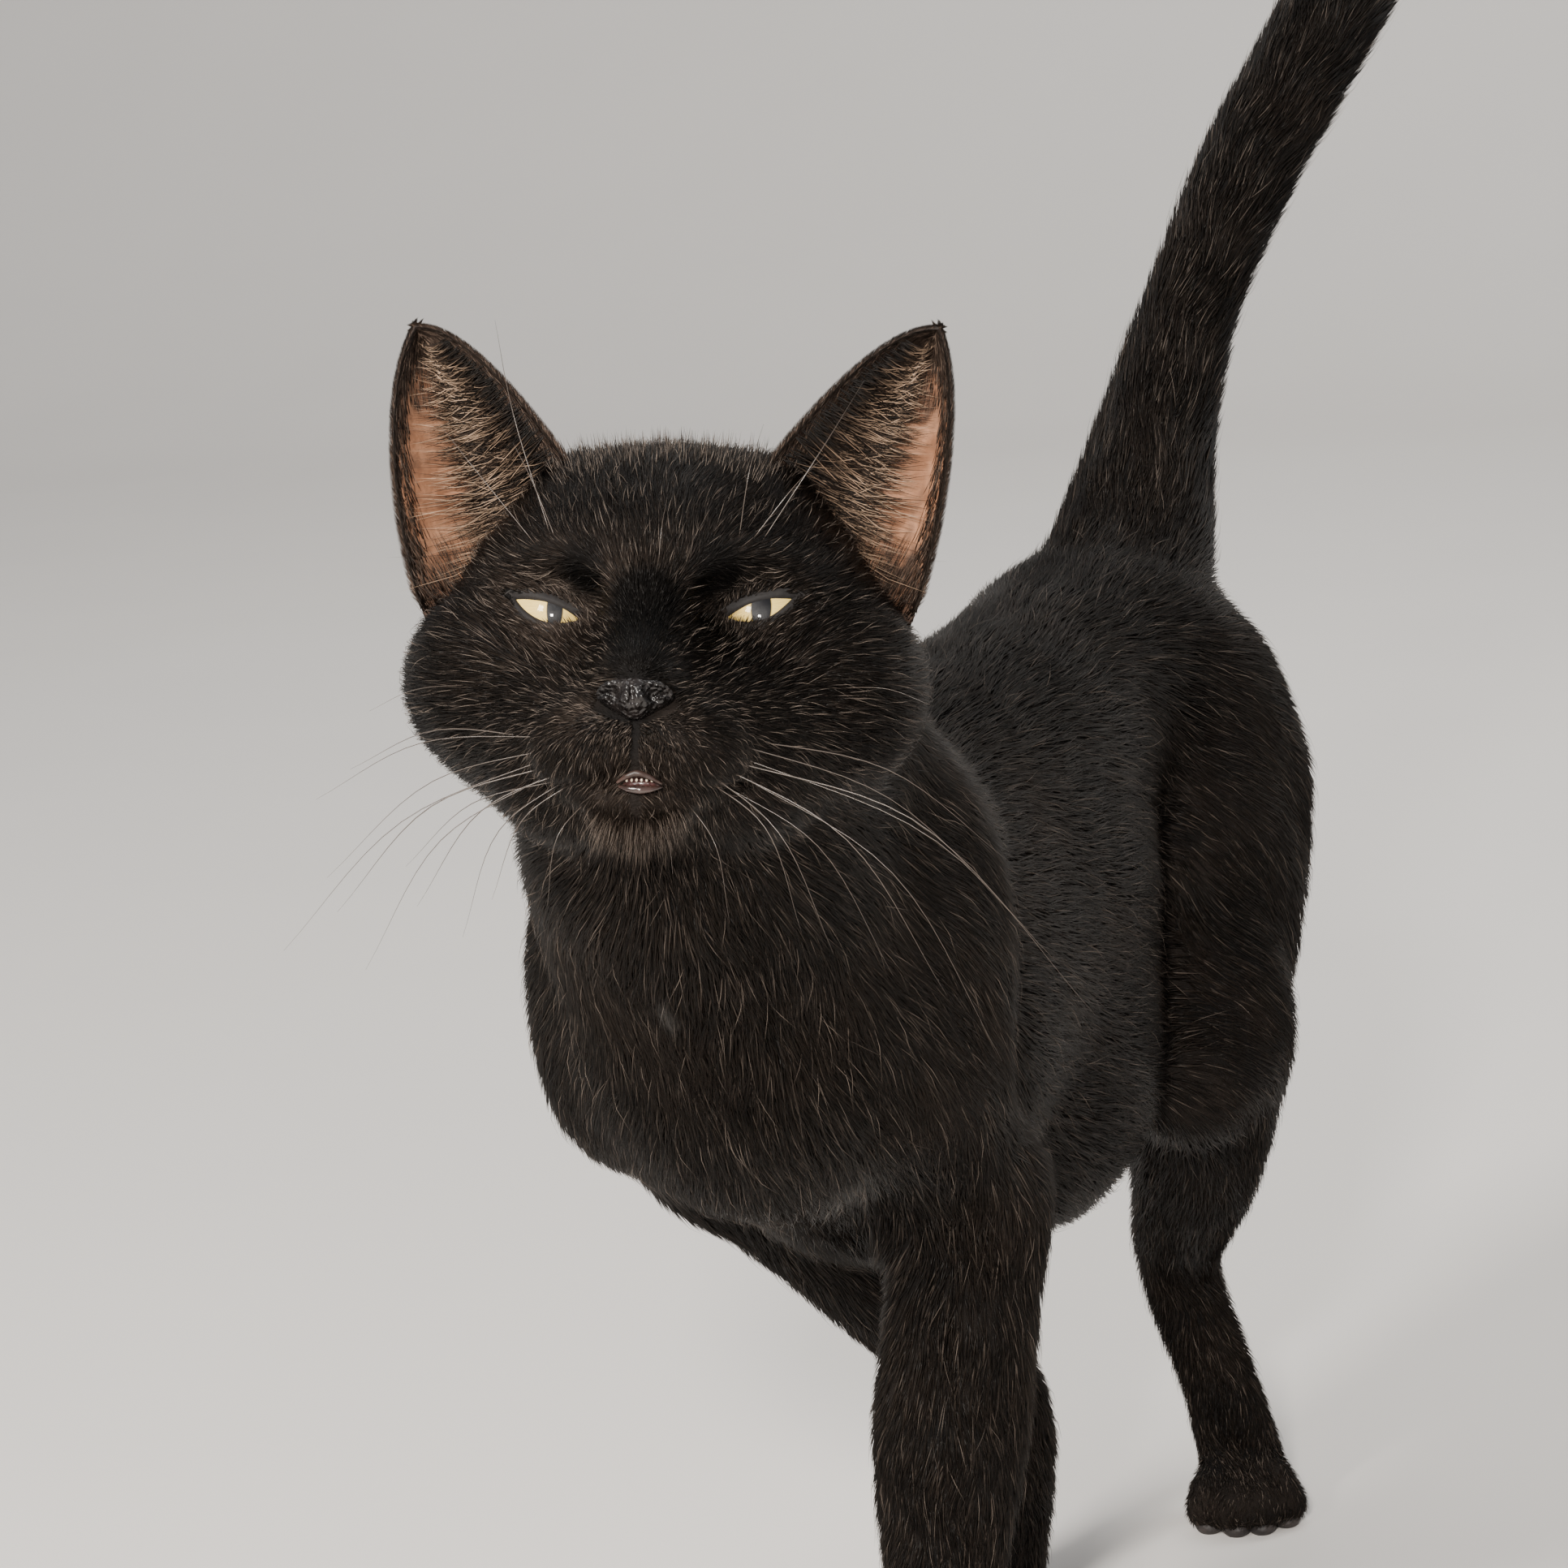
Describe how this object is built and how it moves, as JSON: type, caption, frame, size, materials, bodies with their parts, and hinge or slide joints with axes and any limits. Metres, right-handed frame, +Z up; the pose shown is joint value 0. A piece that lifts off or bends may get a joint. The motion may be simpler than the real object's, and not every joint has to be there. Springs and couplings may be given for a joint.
{
  "type": "domestic cat model",
  "caption": "Short-haired black domestic cat caught mid-step, head lifted and turned to its left, eyes half closed, tail carried high in a gentle bend.",
  "frame": {"origin": "middle of the floor rectangle under the whole cat, at the height of the paw pads", "axes": "+Z up, -Y the way the cat walks, +X towards the cat's left side"},
  "size_m": [0.1346, 0.5066, 0.4716],
  "materials": {
    "fur": "short dense fur, black with a faint warm brown cast",
    "nose": "moist black nose leather",
    "eye": "wet, golden yellow iris with a slit pupil"
  },
  "bodies": {
    "root": {"head": "fur", "ear_left": "fur", "ear_right": "fur", "neck": "fur", "trunk": "fur", "foreleg_left": "fur", "foreleg_right": "fur", "hindleg_left": "fur", "hindleg_right": "fur", "tail_1": "fur", "tail_2": "fur", "tail_3": "fur", "nose": "nose", "eye_left": "eye", "eye_right": "eye"}
  },
  "joints": []
}
